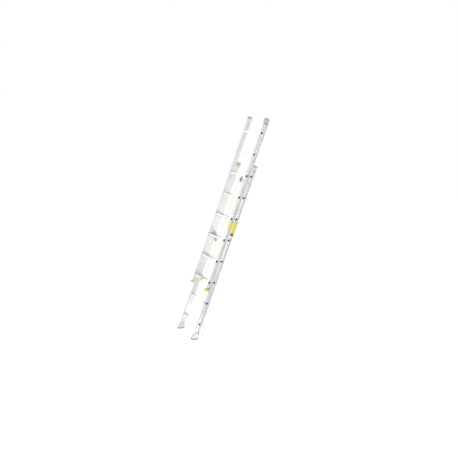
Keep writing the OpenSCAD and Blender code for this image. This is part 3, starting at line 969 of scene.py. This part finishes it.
@dataclass
class Rope:
    """Braided rope of one diameter, laid along a path."""

    diameter: float = 9.5
    # Strands that wind each way, and the length in which each goes once round
    strands: int = 4
    lay_length: float = 36.0
    # Corners round the rope, and the distance from one ring of them to the next
    around: int = 20
    ring: float = 2.3
    # Half the height of the strands' crests, as a share of the radius
    relief: float = 0.09
    # Upward share of a heading from which the rope is steep
    steep_from: float = 0.9

    def braid(self, name: str, points: Sequence[Vector]) -> tuple[Piece, list[Vector]]:
        """Sweeps the braid along a smooth curve through points.

        Args:
            name: Name of the new piece.
            points: Points that the rope's centre passes through, in the frame.

        Returns:
            The piece and the centre line that it follows.
        """
        path = spline(points, self.ring * MM)
        radius = self.diameter / 2 * MM
        verts: list[Vector] = []
        turns: list[float] = []
        heading = (path[1] - path[0]).normalized()
        # The rings start from a direction that is well off the heading
        steep = abs(heading.z) >= self.steep_from
        guide = Vector((0.0, 1.0, 0.0)) if steep else Vector((0.0, 0.3, 1.0))
        across = heading.cross(guide).normalized()
        travelled = 0.0
        for i, centre in enumerate(path):
            before, after = path[max(i - 1, 0)], path[min(i + 1, len(path) - 1)]
            heading = (after - before).normalized()
            across = (across - heading * across.dot(heading)).normalized()
            third = heading.cross(across)
            if i:
                travelled += (centre - path[i - 1]).length
            turn = travelled * self.strands / (self.lay_length * MM)
            turns.append(turn)
            for k in range(self.around):
                a = 2 * math.pi * k / self.around
                crest = max(
                    math.cos(self.strands * a + 2 * math.pi * turn),
                    math.cos(self.strands * a - 2 * math.pi * turn),
                )
                reach = radius * (1 - self.relief + self.relief * crest)
                verts.append(centre + reach * (math.cos(a) * across + math.sin(a) * third))
        faces: list[tuple[int, ...]] = []
        for i in range(len(path) - 1):
            for k in range(self.around):
                n = (k + 1) % self.around
                low, high = i * self.around, (i + 1) * self.around
                faces.append((low + k, low + n, high + n, high + k))
        sides = len(faces)
        faces.append(tuple(reversed(range(self.around))))
        faces.append(tuple(range(len(verts) - self.around, len(verts))))
        piece = mesh_piece(name, verts, faces, ROPE_BRAID)
        layer = piece.data.uv_layers.new(name="braid")
        for number, polygon in enumerate(piece.data.polygons[:sides]):
            i, k = divmod(number, self.around)
            corners = ((k, i), (k + 1, i), (k + 1, i + 1), (k, i + 1))
            for loop, (kk, ii) in zip(polygon.loop_indices, corners):
                layer.data[loop].uv = (kk * self.strands / self.around, turns[ii])
        return piece, path


@dataclass
class HoistRope:
    """The hoist rope: knotted to the lowest fly rung, over the sheave and down behind the base."""

    rope: Rope = field(default_factory=Rope)
    # Height over the lowest fly rung at which the knot's piece of rope starts
    stub: float = 56.0
    # Gap between rope and rung in the knot, and what the turn round the second rung and the way
    # down behind the rungs each add to it
    seat: float = 0.3
    slack: float = 1.3
    clear: float = 1.6
    # Height of the rope's centre where it bridges the flat top of a rung
    bridge: float = 22.3
    # Where the turn round the second rung starts along it, and the angles of its points
    turn_x: float = 136.0
    turn_angles: range = range(0, 340, 24)

    @property
    def turn_r(self) -> float:
        """Radius of the rope's centre where it goes round a rung."""
        return STANCE.rung_r + self.rope.diameter / 2 + self.seat

    def haul_points(self) -> list[Point]:
        """Lays out the free part: half round the sheave, down, round the second rung, and the tail.

        Returns:
            The points that it passes through.
        """
        stance = STANCE
        pitch, back = stance.rung_pitch, self.turn_r + self.clear
        points: list[Point] = []
        for angle in range(180, -1, -15):
            a = math.radians(angle)
            points.append((
                0.0,
                stance.sheave_r * math.cos(a),
                stance.sheave_z + stance.sheave_r * math.sin(a),
            ))
        points += [
            (0, stance.sheave_r, stance.sheave_z - 40),
            (0, back, 4.5 * pitch),
            (3, back, 3.2 * pitch),
            (18, back, 2.55 * pitch),
            (62, back, 1.85 * pitch),
            (108, back, 1.38 * pitch),
            (130, back + 1, 1.1 * pitch),
        ]
        reach = self.turn_r + self.slack
        for i, angle in enumerate(self.turn_angles):
            a = math.radians(-angle - stance.lean)
            up = reach if math.sin(a) < 0 else self.bridge
            y, z = stance.level(reach * math.cos(a), up * math.sin(a))
            points.append((self.turn_x + i, y, pitch + z))
        tail = [
            # x, y, and height over the second rung's axis
            (151, 36, -28), (152, 62, -43), (158, 93, -60), (165, 106, -87), (160, 103, -116),
            (144, 88, -148), (125, 70, -182), (115, 62, -216), (119, 68, -249), (130, 88, -279),
            (143, 110, -308), (152, 127, -339), (155, 136, -372), (151, 142, -406), (144, 145, -438),
            (136, 142, -468),
        ]
        points += [(x, y, pitch + z) for x, y, z in tail]
        return points

    def knot_points(self) -> list[Point]:
        """Lays out the knot: down from the hoist, two crossed turns round the rung, a short end.

        Returns:
            The points that it passes through.
        """
        stance = STANCE
        y0, z0 = -stance.plane_gap, stance.fly_first
        points: list[Point] = [
            (0, y0 + self.turn_r, z0 + self.stub),
            (0, y0 + self.turn_r, z0 + self.stub * 0.6),
        ]
        gap = self.rope.diameter / 2 + self.seat
        turns = [
            # Angle round the rung, x, and height over the rung's surface
            (10, 0.5, 0.0), (-30, 3.0, 0.0), (-75, 6.0, 0.0), (-120, 8.0, 0.0), (-165, 9.0, 0.0),
            (-210, 9.5, 0.0), (-255, 9.5, 0.0), (-300, 9.0, 0.5), (-340, 8.5, 1.0), (-385, 5.0, 6.0),
            (-420, -1.0, 8.5), (-455, -6.0, 6.0), (-495, -9.0, 1.5), (-540, -10.0, 0.0),
            (-585, -10.0, 0.0), (-630, -10.0, 0.0), (-675, -10.0, 0.5), (-712, -7.0, 5.0),
            (-740, -2.0, 9.5), (-775, 4.0, 9.0),
        ]
        for angle, x, lift in turns:
            y, z = stance.beside_rung(angle, gap + lift)
            points.append((x, y0 + y, z0 + z))
        return points

    def build(self) -> None:
        stance, width = STANCE, self.rope.diameter * MM
        knot, _ = self.rope.braid("knot_braid", [stance.place(*p) for p in self.knot_points()])
        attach(knot, "fly")
        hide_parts("rope_knot")

        top = stance.place(0, -stance.sheave_r, stance.sheave_z)
        low = stance.place(0, self.turn_r - stance.plane_gap, stance.fly_first + self.stub)
        middle = [top.lerp(low, i / 6) for i in range(7)]
        hoist, line = self.rope.braid("hoist_braid", middle)
        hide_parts("rope_hoist")
        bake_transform(hoist)

        haul, line = self.rope.braid("haul_braid", [stance.place(*p) for p in self.haul_points()])
        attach(haul, "base")
        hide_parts("rope_haul")
        log.info("hoist rope: %.2f m free", run_length(line))


@dataclass(frozen=True)
class Panel:
    """A panel: the section that it is stuck to, and the heights of its edges up the rail."""

    name: str
    section: Section
    low: float
    high: float
    finish: Finish


@dataclass
class RailPanels:
    """Plain printed panels on the right-hand webs; they carry no words."""

    # A yellow panel with a pale neighbour on the fly section, and a grey one near the top
    panels: tuple[Panel, ...] = (
        Panel("panel_yellow", Section.BASE, 1290.0, 1494.0, YELLOW_FILM),
        Panel("panel_lemon", Section.FLY, 1352.0, 1475.0, LEMON_FILM),
        Panel("panel_grey", Section.BASE, 2030.0, 2110.0, GREY_FILM),
    )
    # The film's two faces lie this far over the web
    under: float = 0.02
    skin: float = 0.15
    corner: float = 3.0
    half_width: float = 28.6

    def stick(self, panel: Panel) -> None:
        """Makes a thin panel with rounded corners on the web.

        Args:
            panel: Its name, place and finish.
        """
        web, middle = STANCE.web(panel.section), STANCE.plane(panel.section)
        low, high = panel.low, panel.high
        front, rear = middle - self.half_width, middle + self.half_width
        outline: list[tuple[float, float]] = []
        r = self.corner
        for y, z, start in (
            (rear - r, high - r, 0),
            (front + r, high - r, 90),
            (front + r, low + r, 180),
            (rear - r, low + r, 270),
        ):
            for angle in range(start, start + 91, 15):
                a = math.radians(angle)
                outline.append((y + r * math.cos(a), z + r * math.sin(a)))
        n = len(outline)
        verts = [STANCE.place(web + self.under, y, z) for y, z in outline]
        verts += [STANCE.place(web + self.skin, y, z) for y, z in outline]
        faces: list[Sequence[int]] = [tuple(reversed(range(n))), tuple(range(n, 2 * n))]
        faces += [(i, (i + 1) % n, n + (i + 1) % n, n + i) for i in range(n)]
        piece = mesh_piece(panel.name, verts, faces, panel.finish, smooth=False)
        layer = piece.data.uv_layers.new(name="print")
        for loop in piece.data.loops:
            y, z = outline[loop.vertex_index % n]
            layer.data[loop.index].uv = ((y - front) / (rear - front), (z - low) / (high - low))
        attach(piece, panel.section.value)

    def build(self) -> None:
        """Makes every panel."""
        for panel in self.panels:
            self.stick(panel)


# ---- studio ----


@dataclass(frozen=True)
class SoftBox:
    """A square soft box: where it stands and what it is aimed at, its side and its power."""

    name: str
    at: Point
    aim: Point
    size: float
    watts: float


@dataclass
class Studio:
    """Camera, lamps, floor and backdrop; its places are in metres and its angles in degrees."""

    camera_at: Point = (5.65652, -3.44776, 2.80540)
    heading: float = 145.4392
    dip: float = 10.7630
    roll: float = 7.36087
    lens_mm: float = 39.34
    sensor_mm: float = 36.0
    # The camera sees no further than this
    far: float = 200.0
    lamps: tuple[SoftBox, ...] = (
        SoftBox("key", (3.2, -4.6, 5.2), (0.0, 0.4, 1.5), 3.0, 110.0),
        SoftBox("rim", (-3.5, 2.2, 4.0), (0.0, 0.4, 1.6), 2.5, 40.0),
    )
    # How bright the backdrop is as a light, and in the metal to the left, to the right and above
    soft_light: float = 0.9
    gloss_left: float = 1.37
    gloss_right: float = 0.86
    gloss_top: float = 0.72
    # Directions' x to either side, and z from low to high, over which that brightness changes
    turn_over: float = 0.8
    rise_over: tuple[float, float] = (0.06, 0.42)
    # Half the side of the floor, and how far it lies under the soles
    floor_r: float = 30.0
    floor_drop: float = 0.0005
    # The paper as the eye sees it: its own glow, and what the lamps and shadows change
    floor_glow: float = 0.8
    floor_shade: str = "#9f9f9f"
    # The paper as a light
    floor_light: str = "#e9e9e9"
    # How much brighter the floor in front of the ladder is in the metal than the floor behind
    # it, and the places towards the wall between which it changes
    front_floor: float = 1.35
    front_over: tuple[float, float] = (-1.0, 0.4)
    # Distance from the ladder's foot, and how bright the floor is in the metal there
    floor_rings: tuple[tuple[float, float], ...] = (
        (0.12, 1.0), (0.3, 1.0), (0.5, 1.9), (1.0, 1.15), (1.6, 0.62), (2.4, 0.8), (3.6, 1.12),
        (5.5, 1.55), (11.0, 1.52), (17.0, 1.0), (26.0, 0.86),
    )

    def camera(self) -> None:
        """Sets up the camera from its place, heading, dip and roll."""
        yaw, dip, roll = (math.radians(v) for v in (self.heading, self.dip, self.roll))
        forward = Vector((
            math.cos(dip) * math.cos(yaw), math.cos(dip) * math.sin(yaw), -math.sin(dip)
        ))
        right = forward.cross(Vector((0, 0, 1))).normalized()
        up = right.cross(forward)
        right, up = (
            math.cos(roll) * right + math.sin(roll) * up,
            -math.sin(roll) * right + math.cos(roll) * up,
        )
        data = bpy.data.cameras.new("camera")
        data.lens = self.lens_mm
        data.sensor_width = self.sensor_mm
        data.clip_end = self.far
        camera = bpy.data.objects.new("camera", data)
        camera.matrix_world = Matrix.Translation(self.camera_at) @ Matrix(
            (right, up, -forward)
        ).transposed().to_4x4()
        bpy.context.scene.collection.objects.link(camera)
        bpy.context.scene.camera = camera

    def lamp(self, box: SoftBox) -> None:
        """Sets up a soft box.

        Args:
            box: Its place, aim, size and power.
        """
        data = bpy.data.lights.new(box.name, "AREA")
        data.shape = "SQUARE"
        data.size = box.size
        data.energy = box.watts
        lamp = bpy.data.objects.new(box.name, data)
        lamp.location = box.at
        aim = Vector(box.aim) - Vector(box.at)
        lamp.rotation_euler = aim.to_track_quat("-Z", "Y").to_euler()
        bpy.context.scene.collection.objects.link(lamp)

    def backdrop(self) -> None:
        """Makes the world white to the eye, soft as a light, and a gentle gradient in metal."""
        world = bpy.data.worlds.new("studio")
        bpy.context.scene.world = world
        world.use_nodes = True
        tree = world.node_tree
        tree.nodes.clear()
        seen = add(tree, "LightPath")
        either = add(
            tree,
            "Math",
            {"operation": "MAXIMUM"},
            {0: seen.outputs["Is Camera Ray"], 1: seen.outputs["Is Transmission Ray"]},
        )
        towards = add(tree, "TexCoord")
        split = add(tree, "SeparateXYZ", links={"Vector": towards.outputs["Generated"]})
        across = add(
            tree,
            "MapRange",
            {
                "From Min": -self.turn_over,
                "From Max": self.turn_over,
                "To Min": self.gloss_left,
                "To Max": self.gloss_right,
            },
            {"Value": split.outputs["X"]},
        )
        low, high = self.rise_over
        height = add(
            tree,
            "MapRange",
            {"From Min": low, "From Max": high, "To Min": 1.0, "To Max": self.gloss_top},
            {"Value": split.outputs["Z"]},
        )
        sheen = add(tree, "Math", {"operation": "MULTIPLY"}, {0: across, 1: height})
        light = add(tree, "Background", {"Strength": self.soft_light})
        mirrored = add(tree, "Background", links={"Strength": sheen})
        white = add(tree, "Background", {"Strength": 1.0})
        for background in (light, mirrored, white):
            background.inputs["Color"].default_value = linear("#ffffff")
        unseen = add(
            tree, "MixShader", links={0: seen.outputs["Is Glossy Ray"], 1: light, 2: mirrored}
        )
        mix = add(tree, "MixShader", links={0: either, 1: unseen, 2: white})
        add(tree, "OutputWorld", links={"Surface": mix})

    def floor(self) -> None:
        """Lays a pale paper floor that keeps a faint shadow, and is ringed in the metal."""
        paper = bpy.data.materials.new("studio_paper")
        paper.use_nodes = True
        tree = paper.node_tree
        tree.nodes.clear()
        seen = add(tree, "LightPath")
        lit = add(tree, "BsdfDiffuse", {"Color": linear(self.floor_light)})
        shaded = add(tree, "BsdfDiffuse", {"Color": linear(self.floor_shade)})
        white = linear("#ffffff")
        glow = add(tree, "Emission", {"Color": white, "Strength": self.floor_glow})
        paper_seen = add(tree, "AddShader", links={0: shaded, 1: glow})
        place = add(tree, "TexCoord")
        reach = add(tree, "VectorMath", {"operation": "LENGTH"}, {0: place.outputs["Object"]})
        share = add(
            tree, "Math", {"operation": "DIVIDE", 1: self.floor_r}, {0: reach.outputs["Value"]}
        )
        rings = add(tree, "ValToRGB", links={"Fac": share})
        stops = rings.color_ramp.elements
        # A new ramp has a stop at 0 and one at 1; the nearer becomes the first ring
        stops.remove(stops[1])
        stops[0].position = self.floor_rings[0][0] / self.floor_r
        for distance, _ in self.floor_rings[1:]:
            stops.new(distance / self.floor_r)
        for stop, (_, value) in zip(stops, self.floor_rings):
            stop.color = (value, value, value, 1.0)
        side = add(tree, "SeparateXYZ", links={"Vector": place.outputs["Object"]})
        nearest, furthest = self.front_over
        front = add(
            tree,
            "MapRange",
            {"From Min": nearest, "From Max": furthest, "To Min": self.front_floor, "To Max": 1.0},
            {"Value": side.outputs["Y"]},
        )
        mirrored = add(tree, "Emission", links={"Color": rings, "Strength": front})
        seen_or_lit = add(
            tree, "MixShader", links={0: seen.outputs["Is Camera Ray"], 1: lit, 2: paper_seen}
        )
        mix = add(
            tree, "MixShader", links={0: seen.outputs["Is Glossy Ray"], 1: seen_or_lit, 2: mirrored}
        )
        add(tree, "OutputMaterial", links={"Surface": mix})
        r = self.floor_r
        mesh = bpy.data.meshes.new("floor")
        mesh.from_pydata([(-r, -r, 0), (r, -r, 0), (r, r, 0), (-r, r, 0)], [], [(0, 1, 2, 3)])
        mesh.materials.append(paper)
        floor = bpy.data.objects.new("floor", mesh)
        floor.location.z = -self.floor_drop
        bpy.context.scene.collection.objects.link(floor)

    def build(self) -> None:
        """Sets up the camera, lamps, backdrop and floor."""
        self.camera()
        bpy.context.scene.view_settings.view_transform = "Standard"
        for box in self.lamps:
            self.lamp(box)
        self.backdrop()
        self.floor()


def main() -> None:
    """Builds everything in order, the camera and the rope first."""
    logging.basicConfig(level=logging.INFO, format="%(name)s: %(message)s")
    Studio().build()
    for assembly in (
        HoistRope(), Sections(), RailEnds(), RungLocks(), Shoes(), HoistPulley(), RailPanels()
    ):
        assembly.build()
    bpy.context.view_layer.update()


if __name__ == "__main__":
    main()
